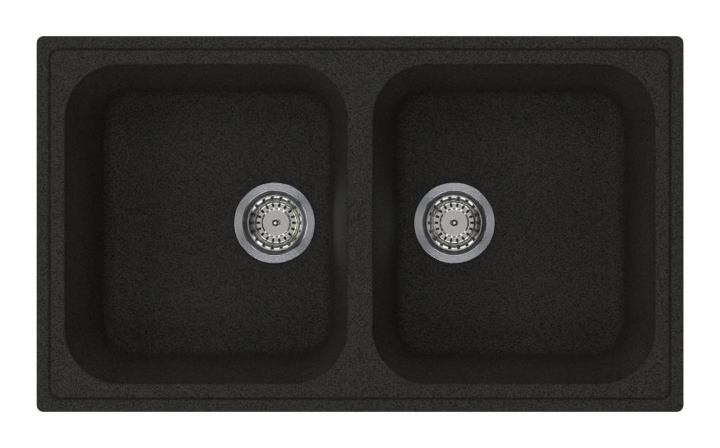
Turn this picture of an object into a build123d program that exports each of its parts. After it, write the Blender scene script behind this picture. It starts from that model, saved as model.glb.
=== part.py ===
from build123d import *
import math
import os

os.makedirs("parts", exist_ok=True)

# Double bowl kitchen sink, in millimetres.
# z = 0 is the worktop's surface and the underside of the rim, +Y is the back.
# Heights named ..._z are in this frame. The waste's own heights are measured
# from the drain seat, which is the recessed ring of floor round each drain hole.

# Deck and rim
sink_length = 860.0
sink_width = 500.0
rim_height = 10.0
outer_corner_radius = 9.5
outer_edge_radius = 2.5

# Shallow groove round the deck
groove_inset = 18.0
groove_width = 8.0
groove_depth = 1.5
groove_corner_radius = 13.0

# Bowls
deck_margin = 38.0
divider_width = 34.0
bowl_corner_radius = 74.0
bowl_depth = 200.0
wall_draft = 9.0
wall_thickness = 9.0
cove_radius = 24.0
mouth_radius = 3.0
floor_fall = 1.0

# Drain holes, for a standard 3 1/2 inch waste
drain_inset = 109.0
drain_hole_gap = 1.4
drain_recess_depth = 2.6
drain_floor_thickness = 9.0

# Foam seal in the underside of the rim
seal_inset = 3.0
seal_width = 5.0
seal_depth = 2.0
seal_side_gap = 0.2

# Fixing clips, with the worktop they grip
worktop_thickness = 38.0
clip_inset = 20.0
clip_end_inset = 130.0
clip_sheet = 2.0
clip_width = 16.0
clip_reach = 28.0
clip_grip_gap = 1.0
clip_bend_radius = 1.5
clip_rise = 9.0
clip_teeth = 3
clip_tooth_depth = 1.2
boss_radius = 8.0
boss_height = 16.0
insert_radius = 3.5
insert_length = 12.0
clip_screw_radius = 2.5
clip_screw_engagement = 11.0
screw_head_across_flats = 8.0
screw_head_height = 4.0
screw_flange_radius = 7.0
screw_flange_height = 1.5

# Clearances
seat_gap = 0.05
thread_gap = 0.05
loose_gap = 0.3
floating_gap = 0.1

# Strainer flange and cup, pressed from one sheet
steel_sheet = 0.8
flange_radius = 57.0
flange_recess_gap = 1.5
flange_top = 2.0
flange_dish = 0.8
flange_edge_radius = 1.2
lip_radius = 2.5
cup_radius = 43.8
cup_step_height = -11.0
cup_step = 2.0
cup_step_radius = 1.0
cup_floor = -46.0
cup_corner_radius = 3.0
well_radius = 21.5
well_depth = 5.0
well_slope = 1.5
web_inner_radius = 12.3
web_outer_radius = 18.6
web_spoke_width = 5.0
web_spokes = 3
web_corner_radius = 1.0

# Gaskets above and below the floor
flange_gasket_hole_gap = 1.5
flange_gasket_edge_gap = 1.4
body_gasket_hole_gap = 2.0
body_gasket_edge_gap = 0.5
body_gasket_thickness = 2.0

# Waste body
body_flange_reach = 2.5
body_flange_thickness = 4.0
pot_gap = 2.9
pot_wall = 3.0
pot_bottom = -60.0
outlet_radius = 23.9
outlet_wall = 3.0
outlet_length = 24.0
funnel_height = 16.0
pot_edge_radius = 3.0
body_edge_radius = 1.0
hub_radius = 11.5
hub_bottom = -70.0
hub_spokes = 4
hub_spoke_width = 3.0

# Hollow centre screw and its nut
screw_radius = 5.0
screw_bore_radius = 3.2
screw_head_radius = 8.5
waste_screw_head_height = 4.0
waste_screw_length = 27.0
screw_slot_width = 2.0
screw_slot_depth = 1.5
nut_across_flats = 16.0
nut_height = 7.0

# Strainer basket
basket_sheet = 0.7
basket_gap = 2.5
basket_rim_drop = 1.5
basket_rim_width = 1.9
basket_taper = 6.0
basket_depth = 25.2
basket_edge_radius = 0.8
basket_corner_radius = 6.0
disc_foot_radius = 21.0
disc_radius = 18.6
disc_rise = 1.2
disc_edge_radius = 0.9
basket_openings = 18
window_width = 7.8
window_height = 13.5
window_corner_radius = 2.0
window_drop = 9.5
slot_disc_gap = 1.4
slot_wall_gap = 2.9
slot_width = 3.4
basket_travel = 6.0

# Knob, rubber plug and guide pin of the basket
knob_radius = 5.6
knob_height = 12.0
knob_neck_radius = 2.6
knob_collar_radius = 4.0
knob_collar_height = 1.0
stud_radius = 2.0
stud_hole_gap = 0.2
plug_radius = 27.0
plug_thickness = 2.5
plug_neck_radius = 14.0
plug_clearance = 3.5
plug_edge_radius = 1.0
pin_head_radius = 7.0
pin_head_height = 3.0
pin_radius = 2.9
pin_length = 18.0
pin_tip_chamfer = 0.8

# Overflow of the right bowl
slot_below_deck = 50.0
overflow_slot_length = 30.0
overflow_slot_height = 11.0
pad_width = 66.0
pad_height = 40.0
pad_proud = 1.0
overflow_gasket_thickness = 2.0
overflow_insert_radius = 3.0
overflow_insert_length = 8.0
overflow_screw_spacing = 48.0
overflow_screw_radius = 2.0
overflow_screw_head_radius = 4.0
overflow_screw_head_height = 2.6
overflow_screw_length = 11.0
elbow_wall = 2.2
elbow_flange_thickness = 3.0
elbow_depth = 16.0
elbow_box_width = 36.0
elbow_box_height = 24.0
elbow_sump_drop = 1.5
elbow_corner_radius = 4.0
spigot_length = 18.0
spigot_radius = 12.5
socket_depth = 14.0
pipe_radius = 10.0
pipe_wall = 1.8
pipe_gap = 0.3
pipe_bend_radius = 22.0
branch_height = -33.0
branch_length = 21.5
ring_thickness = 3.0
ring_gap = 0.1
ring_cord_gap = 0.2
coupling_nut_radius = 15.5
coupling_nut_length = 14.0
coupling_nut_end = 2.0
coupling_nut_ribs = 12
coupling_rib_radius = 1.2

# Worked out from the sizes above
bowl_length = (sink_length - 2 * deck_margin - divider_width) / 2
bowl_width = sink_width - 2 * deck_margin
bowl_x = (divider_width + bowl_length) / 2
drain_x = divider_width / 2 + drain_inset
floor_low_z = rim_height - bowl_depth
seat_z = floor_low_z - drain_recess_depth
underside_z = seat_z - drain_floor_thickness
cup_outer_radius = cup_radius + steel_sheet
drain_hole_radius = cup_outer_radius + drain_hole_gap
flange_gasket_inner_radius = drain_hole_radius + flange_gasket_hole_gap
flange_gasket_outer_radius = flange_radius - flange_gasket_edge_gap
pot_radius = cup_outer_radius + pot_gap + pot_wall
body_flange_radius = pot_radius + body_flange_reach
body_gasket_inner_radius = drain_hole_radius + body_gasket_hole_gap
body_gasket_outer_radius = body_flange_radius - body_gasket_edge_gap
basket_rim_radius = cup_radius - cup_step - basket_gap
basket_mouth_radius = basket_rim_radius - basket_rim_width
basket_foot_radius = basket_mouth_radius - basket_taper
slot_inner_radius = disc_foot_radius + slot_disc_gap
slot_outer_radius = basket_foot_radius - slot_wall_gap
branch_reach = pot_radius + branch_length
draft_slope = math.tan(math.radians(wall_draft))
sides = {"left": -1, "right": 1}


def drain_plane(side):
    """Upright section plane through a drain, with its origin at the middle of the drain seat."""
    return Plane(origin=(sides[side] * drain_x, 0, seat_z), x_dir=(1, 0, 0), z_dir=(0, -1, 0))


def drain_level(side, height):
    """Level plane at a height above the drain seat, centred on a drain."""
    return Plane(origin=(sides[side] * drain_x, 0, seat_z + height))


def drain_axis(side):
    """Upright centre line of a drain."""
    return Axis((sides[side] * drain_x, 0, 0), (0, 0, 1))


def sheet_outline(path, radii, thickness):
    """Outline of a bent sheet: a rounded path, closed along the same path moved to its left."""
    points = [Vector(*point) for point in path]
    headings = [(b - a).normalized() for a, b in zip(points, points[1:])]
    lefts = [Vector(-heading.Y, heading.X) for heading in headings]
    moved = [points[0] + lefts[0] * thickness]
    moved_radii = []
    for i, radius in enumerate(radii):
        corner = (lefts[i] + lefts[i + 1]) / (1 + lefts[i].dot(lefts[i + 1]))
        moved.append(points[i + 1] + corner * thickness)
        turn = headings[i].X * headings[i + 1].Y - headings[i].Y * headings[i + 1].X
        moved_radii.append(radius - math.copysign(thickness, turn))
    moved.append(points[-1] + lefts[-1] * thickness)
    outline = points + moved[::-1]
    return FilletPolyline(*outline, radius=[0, *radii, 0, 0, *moved_radii[::-1], 0], close=True)


def save(piece, name):
    """Label a finished piece and write it."""
    piece.part.label = name
    export_step(piece.part, f"parts/{name}.step")


# ---------------------------------------------------------------------------
# Places of the fixing clips: three on each long side and one on each short side.
# A parked clip lies along the edge, and swings outwards under the worktop.
# ---------------------------------------------------------------------------

clip_x = sink_length / 2 - clip_inset
clip_y = sink_width / 2 - clip_inset
clip_end_x = sink_length / 2 - clip_end_inset
clip_places = {
    "front_left": ((-clip_end_x, -clip_y), (1, 0)),
    "front_middle": ((0, -clip_y), (1, 0)),
    "front_right": ((clip_end_x, -clip_y), (1, 0)),
    "back_left": ((-clip_end_x, clip_y), (1, 0)),
    "back_middle": ((0, clip_y), (1, 0)),
    "back_right": ((clip_end_x, clip_y), (1, 0)),
    "left": ((-clip_x, 0), (0, 1)),
    "right": ((clip_x, 0), (0, 1)),
}
clip_points = [place for place, heading in clip_places.values()]

# ---------------------------------------------------------------------------
# Basin: one moulding of stone and resin, with deck, bowls, bosses and overflow pad
# ---------------------------------------------------------------------------

slot_z = rim_height - slot_below_deck
pad_top_z = slot_z + pad_height / 2
pad_x = divider_width / 2 + (rim_height - pad_top_z) * draft_slope - wall_thickness - pad_proud
pad_root_x = divider_width / 2 + (rim_height - slot_z + pad_height / 2) * draft_slope


def bowl_space(side):
    """The hollow of one bowl: drafted walls down to a floor that falls to the drain."""
    centre = sides[side] * bowl_x
    far_radius = math.hypot(bowl_length, bowl_width)
    with BuildPart() as space:
        with BuildSketch(Plane.XY.offset(rim_height)):
            with Locations((centre, 0)):
                RectangleRounded(bowl_length, bowl_width, bowl_corner_radius)
        extrude(amount=-bowl_depth, taper=wall_draft)
        # everything under the floor's very flat cone is taken away again
        with BuildSketch(drain_plane(side)):
            with BuildLine():
                rise = far_radius * math.tan(math.radians(floor_fall))
                Polyline(
                    (0, drain_recess_depth),
                    (far_radius, drain_recess_depth + rise),
                    (far_radius, -drain_floor_thickness),
                    (0, -drain_floor_thickness),
                    close=True,
                )
            make_face()
        revolve(axis=drain_axis(side), mode=Mode.SUBTRACT)
        bottom = space.faces().sort_by(Axis.Z)[0]
        fillet(bottom.outer_wire().edges(), cove_radius)
    return space.part


left_space = bowl_space("left")
right_space = bowl_space("right")

with BuildPart() as sink_basin:
    with BuildSketch(Plane.XY):
        RectangleRounded(sink_length, sink_width, outer_corner_radius)
    extrude(amount=rim_height)

    # outside of the two bowls
    with BuildSketch(Plane.XY):
        inset = rim_height * draft_slope
        with Locations((-bowl_x, 0), (bowl_x, 0)):
            RectangleRounded(
                bowl_length + 2 * (wall_thickness - inset),
                bowl_width + 2 * (wall_thickness - inset),
                bowl_corner_radius + wall_thickness - inset,
            )
    extrude(amount=underside_z, taper=wall_draft)
    bowl_feet = sink_basin.faces().group_by(Axis.Z)[0]
    fillet(bowl_feet.edges(), cove_radius + wall_thickness)

    # bosses for the fixing clips
    with BuildSketch(Plane.XY):
        with Locations(*clip_points):
            Circle(boss_radius)
    extrude(amount=-boss_height)

    # upright pad behind the overflow slot
    with BuildSketch(Plane.YZ.offset(pad_x)):
        with Locations((0, slot_z)):
            RectangleRounded(pad_width, pad_height, elbow_corner_radius)
    extrude(amount=pad_root_x - pad_x)

    add(left_space, mode=Mode.SUBTRACT)
    add(right_space, mode=Mode.SUBTRACT)

    # rounded edges of the bowl mouths and of the rim
    deck_top = sink_basin.faces().filter_by(Axis.Z).sort_by(Axis.Z)[-1]
    mouths = [wire.edges() for wire in deck_top.inner_wires()]
    for mouth in mouths:
        fillet(mouth, mouth_radius)
    deck_top = sink_basin.faces().filter_by(Axis.Z).sort_by(Axis.Z)[-1]
    fillet(deck_top.outer_wire().edges(), outer_edge_radius)

    # soft groove round the deck
    groove_arc = ((groove_width / 4) ** 2 + (groove_depth / 2) ** 2) / groove_depth
    with BuildLine(Plane.XY.offset(rim_height)) as groove_path:
        half_x = sink_length / 2 - groove_inset
        half_y = sink_width / 2 - groove_inset
        FilletPolyline(
            (half_x, -half_y),
            (half_x, half_y),
            (-half_x, half_y),
            (-half_x, -half_y),
            radius=groove_corner_radius,
            close=True,
        )
    path_wire = groove_path.wires()[0]
    path_start = path_wire.position_at(0)
    path_heading = path_wire.tangent_at(0)
    across = Vector(0, 0, 1).cross(path_heading)
    with BuildSketch(Plane(origin=path_start, x_dir=across, z_dir=path_heading)):
        with BuildLine():
            shoulder = groove_width / 2
            waist = groove_width / 4
            left_shoulder = RadiusArc(
                (-shoulder, 0), (-waist, -groove_depth / 2), groove_arc
            )
            valley = RadiusArc(left_shoulder @ 1, (waist, -groove_depth / 2), -groove_arc)
            right_shoulder = RadiusArc(valley @ 1, (shoulder, 0), groove_arc)
            Polyline(
                right_shoulder @ 1,
                (shoulder, groove_depth),
                (-shoulder, groove_depth),
                left_shoulder @ 0,
            )
        make_face()
    sweep(path=path_wire, mode=Mode.SUBTRACT)

    # recess for the foam seal
    with BuildSketch(Plane.XY):
        RectangleRounded(
            sink_length - 2 * seal_inset,
            sink_width - 2 * seal_inset,
            outer_corner_radius - seal_inset,
        )
        RectangleRounded(
            sink_length - 2 * (seal_inset + seal_width),
            sink_width - 2 * (seal_inset + seal_width),
            outer_corner_radius - seal_inset - seal_width,
            mode=Mode.SUBTRACT,
        )
    extrude(amount=seal_depth, mode=Mode.SUBTRACT)

    # drain recesses and holes
    for side in sides:
        with BuildSketch(drain_level(side, 0)):
            Circle(flange_radius + flange_recess_gap)
        extrude(amount=drain_recess_depth + cove_radius, mode=Mode.SUBTRACT)
        with BuildSketch(drain_level(side, 0)):
            Circle(drain_hole_radius)
        extrude(amount=-drain_floor_thickness, mode=Mode.SUBTRACT)

    # overflow slot and the holes of its inserts
    with BuildSketch(Plane.YZ.offset(pad_x)):
        with Locations((0, slot_z)):
            SlotOverall(overflow_slot_length, overflow_slot_height)
    extrude(amount=pad_root_x - pad_x, mode=Mode.SUBTRACT)
    with BuildSketch(Plane.YZ.offset(pad_x)):
        with Locations((-overflow_screw_spacing / 2, slot_z), (overflow_screw_spacing / 2, slot_z)):
            Circle(overflow_insert_radius)
    extrude(amount=overflow_insert_length, mode=Mode.SUBTRACT)

    # holes of the clip inserts
    with BuildSketch(Plane.XY.offset(-boss_height)):
        with Locations(*clip_points):
            Circle(insert_radius)
    extrude(amount=insert_length, mode=Mode.SUBTRACT)
save(sink_basin, "sink_basin")

# ---------------------------------------------------------------------------
# Foam seal under the rim
# ---------------------------------------------------------------------------

with BuildPart() as worktop_seal:
    seal_outer = seal_inset + seal_side_gap
    seal_inner = seal_inset + seal_width - seal_side_gap
    with BuildSketch(Plane.XY.offset(seat_gap)):
        RectangleRounded(
            sink_length - 2 * seal_outer,
            sink_width - 2 * seal_outer,
            outer_corner_radius - seal_outer,
        )
        RectangleRounded(
            sink_length - 2 * seal_inner,
            sink_width - 2 * seal_inner,
            outer_corner_radius - seal_inner,
            mode=Mode.SUBTRACT,
        )
    extrude(amount=seal_depth - seat_gap)
save(worktop_seal, "worktop_seal")

# ---------------------------------------------------------------------------
# Fixing clips with their screws and inserts
# ---------------------------------------------------------------------------

clip_plate_z = -(worktop_thickness + clip_grip_gap + clip_rise + clip_sheet)
screw_flange_z = clip_plate_z - floating_gap

for name, (place, heading) in clip_places.items():
    plate_plane = Plane(origin=(*place, clip_plate_z), x_dir=(*heading, 0), z_dir=(0, 0, 1))
    side_plane = Plane(
        origin=plate_plane.origin, x_dir=(*heading, 0), z_dir=(heading[1], -heading[0], 0)
    )
    with BuildPart() as clip:
        # bent strip, with its tail rounded about the screw
        with BuildSketch(side_plane):
            with BuildLine():
                sheet_outline(
                    [(-clip_width / 2, 0), (clip_reach, 0), (clip_reach, clip_sheet + clip_rise)],
                    [clip_bend_radius + clip_sheet],
                    clip_sheet,
                )
            make_face()
        extrude(amount=clip_width / 2, both=True)
        with BuildSketch(plate_plane):
            Circle(clip_width / 2)
            with Locations((clip_reach / 2, 0)):
                Rectangle(clip_reach, clip_width)
        extrude(amount=clip_sheet + clip_rise, mode=Mode.INTERSECT)
        # teeth that bite into the worktop
        tooth_pitch = clip_width / clip_teeth
        end_plane = Plane(
            origin=(*place, clip_plate_z + clip_sheet + clip_rise),
            x_dir=(-heading[1], heading[0], 0),
            z_dir=(*heading, 0),
        )
        with BuildSketch(end_plane):
            for i in range(clip_teeth):
                middle = (i - (clip_teeth - 1) / 2) * tooth_pitch
                with BuildLine():
                    Polyline(
                        (middle - tooth_pitch / 2, 0),
                        (middle, -clip_tooth_depth),
                        (middle + tooth_pitch / 2, 0),
                        close=True,
                    )
                make_face()
        extrude(amount=clip_reach + clip_sheet, mode=Mode.SUBTRACT)
        with BuildSketch(plate_plane):
            Circle(clip_screw_radius + loose_gap)
        extrude(amount=clip_sheet, mode=Mode.SUBTRACT)
    save(clip, f"clip_{name}")

with BuildPart() as clip_screws:
    with BuildSketch(Plane.XY.offset(screw_flange_z)):
        with Locations(*clip_points):
            Circle(clip_screw_radius)
    extrude(amount=-boss_height + clip_screw_engagement - screw_flange_z)
    with BuildSketch(Plane.XY.offset(screw_flange_z)):
        with Locations(*clip_points):
            Circle(screw_flange_radius)
    extrude(amount=-screw_flange_height)
    with BuildSketch(Plane.XY.offset(screw_flange_z - screw_flange_height)):
        with Locations(*clip_points):
            RegularPolygon(screw_head_across_flats / 2, 6, major_radius=False)
    extrude(amount=-screw_head_height)
    tips = clip_screws.faces().filter_by(Axis.Z).group_by(Axis.Z)[-1]
    chamfer(tips.edges(), clip_screw_radius / 5)
save(clip_screws, "clip_screws")

with BuildPart() as clip_inserts:
    with BuildSketch(Plane.XY.offset(-boss_height)):
        with Locations(*clip_points):
            Circle(insert_radius)
            Circle(clip_screw_radius + thread_gap, mode=Mode.SUBTRACT)
    extrude(amount=insert_length)
save(clip_inserts, "clip_inserts")

# ---------------------------------------------------------------------------
# Strainer flange and cup with the gaskets
# ---------------------------------------------------------------------------

flange_slope = flange_dish / (flange_radius - cup_radius)
lower_cup_radius = cup_radius - cup_step
well_floor = cup_floor - well_depth


def flange_underside(radius):
    """Height of the flange's underside at a radius."""
    thickness = steel_sheet * math.hypot(1, flange_slope)
    return flange_top - flange_slope * (flange_radius - radius) - thickness


def strainer_flange(side):
    """Pressed flange, lip, stepped cup and drilled well."""
    with BuildPart() as piece:
        with BuildSketch(drain_plane(side)):
            with BuildLine():
                sheet_outline(
                    [
                        (flange_radius, seat_gap),
                        (flange_radius, flange_top),
                        (cup_radius, flange_top - flange_dish),
                        (cup_radius, cup_step_height),
                        (lower_cup_radius, cup_step_height - cup_step),
                        (lower_cup_radius, cup_floor),
                        (well_radius, cup_floor),
                        (well_radius - well_slope, well_floor),
                        (screw_radius + loose_gap, well_floor),
                    ],
                    [
                        flange_edge_radius,
                        lip_radius,
                        cup_step_radius,
                        cup_step_radius + steel_sheet,
                        cup_corner_radius,
                        cup_step_radius,
                        cup_step_radius,
                    ],
                    steel_sheet,
                )
            make_face()
        revolve(axis=drain_axis(side))
        with BuildSketch(drain_level(side, cup_floor)) as web:
            Circle(web_outer_radius)
            Circle(web_inner_radius, mode=Mode.SUBTRACT)
            with PolarLocations(0, web_spokes, 0, 180):
                Rectangle(2 * well_radius, web_spoke_width, mode=Mode.SUBTRACT)
            fillet(web.vertices(), web_corner_radius)
        extrude(amount=-2 * well_depth, mode=Mode.SUBTRACT)
    return piece


def flange_gasket(side):
    """Rubber ring between the flange and the recessed floor."""
    inner = flange_gasket_inner_radius
    outer = flange_gasket_outer_radius
    with BuildPart() as piece:
        with BuildSketch(drain_plane(side)):
            with BuildLine():
                Polyline(
                    (inner, 0),
                    (outer, 0),
                    (outer, flange_underside(outer) - seat_gap),
                    (inner, flange_underside(inner) - seat_gap),
                    close=True,
                )
            make_face()
        revolve(axis=drain_axis(side))
    return piece


def body_gasket(side):
    """Rubber ring between the floor's underside and the waste body."""
    with BuildPart() as piece:
        with BuildSketch(drain_level(side, -drain_floor_thickness)):
            Circle(body_gasket_outer_radius)
            Circle(body_gasket_inner_radius, mode=Mode.SUBTRACT)
        extrude(amount=-body_gasket_thickness)
    return piece


# ---------------------------------------------------------------------------
# Waste body, hollow screw and nut
# ---------------------------------------------------------------------------

body_top = -drain_floor_thickness - body_gasket_thickness
hub_top = well_floor - steel_sheet
nut_pocket_depth = nut_height + loose_gap
outlet_bottom = pot_bottom - funnel_height - outlet_length


def branch_plane(distance):
    """Upright plane across the overflow branch, at a distance from the right drain's centre."""
    origin = (drain_x - distance, 0, seat_z + branch_height)
    return Plane(origin=origin, x_dir=(0, 1, 0), z_dir=(1, 0, 0))


def waste_body(side):
    """Pot, funnel and outlet in one moulding, with the hub that takes the centre screw."""
    pot_inner = pot_radius - pot_wall
    outlet_inner = outlet_radius - outlet_wall
    with BuildPart() as piece:
        with BuildSketch(drain_plane(side)):
            with BuildLine():
                FilletPolyline(
                    (0, body_top),
                    (body_flange_radius, body_top),
                    (body_flange_radius, body_top - body_flange_thickness),
                    (pot_radius, body_top - body_flange_thickness),
                    (pot_radius, pot_bottom),
                    (outlet_radius, pot_bottom - funnel_height),
                    (outlet_radius, outlet_bottom),
                    (0, outlet_bottom),
                    radius=[0, 0]
                    + 2 * [body_edge_radius]
                    + 2 * [pot_edge_radius]
                    + [0, 0],
                    close=True,
                )
            make_face()
        revolve(axis=drain_axis(side))
        if side == "right":
            with BuildSketch(branch_plane(branch_reach)):
                Circle(spigot_radius)
            extrude(amount=branch_reach - pot_inner)
        with BuildSketch(drain_plane(side)):
            with BuildLine():
                Polyline(
                    (0, body_top),
                    (pot_inner, body_top),
                    (pot_inner, pot_bottom + pot_wall / 2),
                    (outlet_inner, pot_bottom - funnel_height + pot_wall / 2),
                    (outlet_inner, outlet_bottom),
                    (0, outlet_bottom),
                    close=True,
                )
            make_face()
        revolve(axis=drain_axis(side), mode=Mode.SUBTRACT)
        if side == "right":
            with BuildSketch(branch_plane(branch_reach)):
                Circle(pipe_radius + pipe_gap)
            extrude(amount=socket_depth, mode=Mode.SUBTRACT)
            with BuildSketch(branch_plane(branch_reach)):
                Circle(pipe_radius - pipe_wall)
            extrude(amount=branch_reach - pot_inner + pot_wall, mode=Mode.SUBTRACT)
        with BuildSketch(drain_level(side, hub_top)):
            Circle(hub_radius)
        extrude(amount=hub_bottom - hub_top)
        with BuildSketch(drain_level(side, hub_top - steel_sheet)):
            with PolarLocations(0, hub_spokes // 2, 45, 180):
                Rectangle(2 * (pot_inner + pot_wall / 2), hub_spoke_width)
        extrude(amount=pot_bottom - hub_top + steel_sheet)
        with BuildSketch(drain_level(side, hub_top)):
            Circle(screw_radius + loose_gap)
        extrude(amount=hub_bottom - hub_top, mode=Mode.SUBTRACT)
        with BuildSketch(drain_level(side, hub_bottom)):
            RegularPolygon(nut_across_flats / 2 + seat_gap, 6, major_radius=False)
        extrude(amount=nut_pocket_depth, mode=Mode.SUBTRACT)
    return piece


def waste_screw(side):
    """Hollow screw: its bore guides the basket's pin."""
    with BuildPart() as piece:
        with BuildSketch(drain_level(side, well_floor)):
            Circle(screw_head_radius)
        extrude(amount=waste_screw_head_height)
        head_top = piece.faces().sort_by(Axis.Z)[-1]
        fillet(head_top.edges(), screw_slot_depth)
        with BuildSketch(drain_level(side, well_floor)):
            Circle(screw_radius)
        extrude(amount=-waste_screw_length)
        with BuildSketch(drain_level(side, well_floor + waste_screw_head_height)):
            Rectangle(2 * screw_head_radius, screw_slot_width)
            Rectangle(screw_slot_width, 2 * screw_head_radius)
        extrude(amount=-screw_slot_depth, mode=Mode.SUBTRACT)
        with BuildSketch(drain_level(side, well_floor + waste_screw_head_height)):
            Circle(screw_bore_radius)
        extrude(amount=-waste_screw_length - waste_screw_head_height, mode=Mode.SUBTRACT)
    return piece


def waste_nut(side):
    """Brass nut held in the hub's pocket."""
    with BuildPart() as piece:
        with BuildSketch(drain_level(side, hub_bottom + nut_pocket_depth - seat_gap)):
            RegularPolygon(nut_across_flats / 2, 6, major_radius=False)
            Circle(screw_radius + thread_gap, mode=Mode.SUBTRACT)
        extrude(amount=-nut_height)
    return piece


# ---------------------------------------------------------------------------
# Strainer basket with knob, rubber plug and guide pin
# ---------------------------------------------------------------------------

# heights below the basket's rim, which the closed position ties to the cup's floor
disc_top = disc_rise - basket_depth
disc_underside = disc_top - basket_sheet
plug_top = -basket_depth - basket_sheet - plug_clearance
plug_bottom = plug_top - plug_thickness
closed_rim = cup_floor + floating_gap - plug_bottom
rest_rim = closed_rim + basket_travel


def strainer_basket(side):
    """Pressed basket with windows in its wall and slots in its floor."""
    opening_step = 360 / basket_openings
    with BuildPart() as piece:
        section = drain_plane(side)
        section = Plane(section.from_local_coords((0, rest_rim, 0)), section.x_dir, section.z_dir)
        with BuildSketch(section):
            with BuildLine():
                sheet_outline(
                    [
                        (basket_rim_radius, -basket_rim_drop),
                        (basket_rim_radius, 0),
                        (basket_mouth_radius, 0),
                        (basket_foot_radius, -basket_depth),
                        (disc_foot_radius, -basket_depth),
                        (disc_radius, disc_top),
                        (stud_radius + stud_hole_gap, disc_top),
                    ],
                    [
                        basket_edge_radius,
                        basket_edge_radius,
                        basket_corner_radius,
                        disc_edge_radius,
                        disc_edge_radius,
                    ],
                    basket_sheet,
                )
            make_face()
        revolve(axis=drain_axis(side))
        window_planes = []
        for i in range(basket_openings):
            angle = math.radians((i + 0.5) * opening_step)
            outward = (math.cos(angle), math.sin(angle), 0)
            window_planes.append(
                Plane(
                    origin=drain_level(side, rest_rim).origin,
                    x_dir=(-math.sin(angle), math.cos(angle), 0),
                    z_dir=outward,
                )
            )
        with BuildSketch(*window_planes):
            with Locations((0, -window_drop - window_height / 2)):
                RectangleRounded(window_width, window_height, window_corner_radius)
        extrude(amount=basket_rim_radius, mode=Mode.SUBTRACT)
        slot_middle = (slot_inner_radius + slot_outer_radius) / 2
        with BuildSketch(drain_level(side, rest_rim - basket_depth)):
            with PolarLocations(slot_middle, basket_openings):
                SlotOverall(slot_outer_radius - slot_inner_radius, slot_width)
        extrude(amount=basket_sheet, both=True, mode=Mode.SUBTRACT)
    return piece


def basket_knob(side):
    """Round knob on a short neck, with the stud that holds the plug and the pin."""
    level = rest_rim + disc_top
    with BuildPart() as piece:
        with BuildSketch(drain_level(side, level)):
            Circle(knob_collar_radius)
        extrude(amount=knob_collar_height)
        with BuildSketch(drain_level(side, level)):
            Circle(knob_neck_radius)
        extrude(amount=knob_height)
        with Locations(drain_level(side, level + knob_height).location):
            Sphere(knob_radius)
        with BuildSketch(drain_level(side, level)):
            Circle(stud_radius)
        extrude(amount=plug_bottom - disc_top + pin_head_height - pin_head_height / 2)
    return piece


def basket_plug(side):
    """Rubber plug that closes on the cup's floor."""
    with BuildPart() as piece:
        with BuildSketch(drain_level(side, rest_rim + disc_underside)):
            Circle(plug_neck_radius)
        extrude(amount=plug_top - disc_underside)
        with BuildSketch(drain_level(side, rest_rim + plug_top)):
            Circle(plug_radius)
        extrude(amount=-plug_thickness)
        disc_edges = piece.edges().filter_by(GeomType.CIRCLE)
        rim_edges = disc_edges.filter_by(lambda e: abs(e.radius - plug_radius) < seat_gap)
        fillet(rim_edges, plug_edge_radius)
        with BuildSketch(drain_level(side, rest_rim + disc_underside)):
            Circle(stud_radius + stud_hole_gap)
        extrude(amount=plug_bottom - disc_underside, mode=Mode.SUBTRACT)
        with BuildSketch(drain_level(side, rest_rim + plug_bottom)):
            Circle(pin_head_radius + stud_hole_gap)
        extrude(amount=pin_head_height, mode=Mode.SUBTRACT)
    return piece


def basket_pin(side):
    """Guide pin: its head clamps the plug, and its shank slides in the hollow screw."""
    with BuildPart() as piece:
        with BuildSketch(drain_level(side, rest_rim + plug_bottom)):
            Circle(pin_head_radius)
        extrude(amount=pin_head_height)
        with BuildSketch(drain_level(side, rest_rim + plug_bottom)):
            Circle(pin_radius)
        extrude(amount=-pin_length)
        tip = piece.faces().sort_by(Axis.Z)[0]
        chamfer(tip.edges(), pin_tip_chamfer)
        with BuildSketch(drain_level(side, rest_rim + plug_bottom + pin_head_height)):
            Circle(stud_radius + thread_gap)
        extrude(amount=-pin_head_height / 2 - thread_gap, mode=Mode.SUBTRACT)
    return piece


waste_pieces = {
    "strainer_flange": strainer_flange,
    "flange_gasket": flange_gasket,
    "body_gasket": body_gasket,
    "waste_body": waste_body,
    "waste_screw": waste_screw,
    "waste_nut": waste_nut,
    "strainer_basket": strainer_basket,
    "basket_knob": basket_knob,
    "basket_plug": basket_plug,
    "basket_pin": basket_pin,
}
for side in sides:
    for name, make in waste_pieces.items():
        save(make(side), f"{side}_{name}")

# ---------------------------------------------------------------------------
# Overflow: gasket, elbow, screws, inserts, rigid pipe, rings and coupling nuts
# ---------------------------------------------------------------------------

elbow_x = pad_x - overflow_gasket_thickness
screw_points = [(-overflow_screw_spacing / 2, slot_z), (overflow_screw_spacing / 2, slot_z)]
elbow_top_z = slot_z + elbow_box_height / 2
sump_z = slot_z - pad_height / 2 - elbow_sump_drop
spigot_end_z = sump_z - spigot_length
pipe_x = elbow_x - elbow_depth / 2
pipe_top_z = spigot_end_z + socket_depth - loose_gap
branch_z = seat_z + branch_height
branch_end_x = drain_x - branch_reach
pipe_end_x = branch_end_x + socket_depth - loose_gap

with BuildPart() as overflow_gasket:
    with BuildSketch(Plane.YZ.offset(elbow_x)):
        with Locations((0, slot_z)):
            RectangleRounded(pad_width - elbow_wall, pad_height - elbow_wall, elbow_corner_radius)
            SlotOverall(
                overflow_slot_length + elbow_wall,
                overflow_slot_height + elbow_wall,
                mode=Mode.SUBTRACT,
            )
        with Locations(*screw_points):
            Circle(overflow_screw_radius + loose_gap, mode=Mode.SUBTRACT)
    extrude(amount=overflow_gasket_thickness)
save(overflow_gasket, "overflow_gasket")

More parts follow.
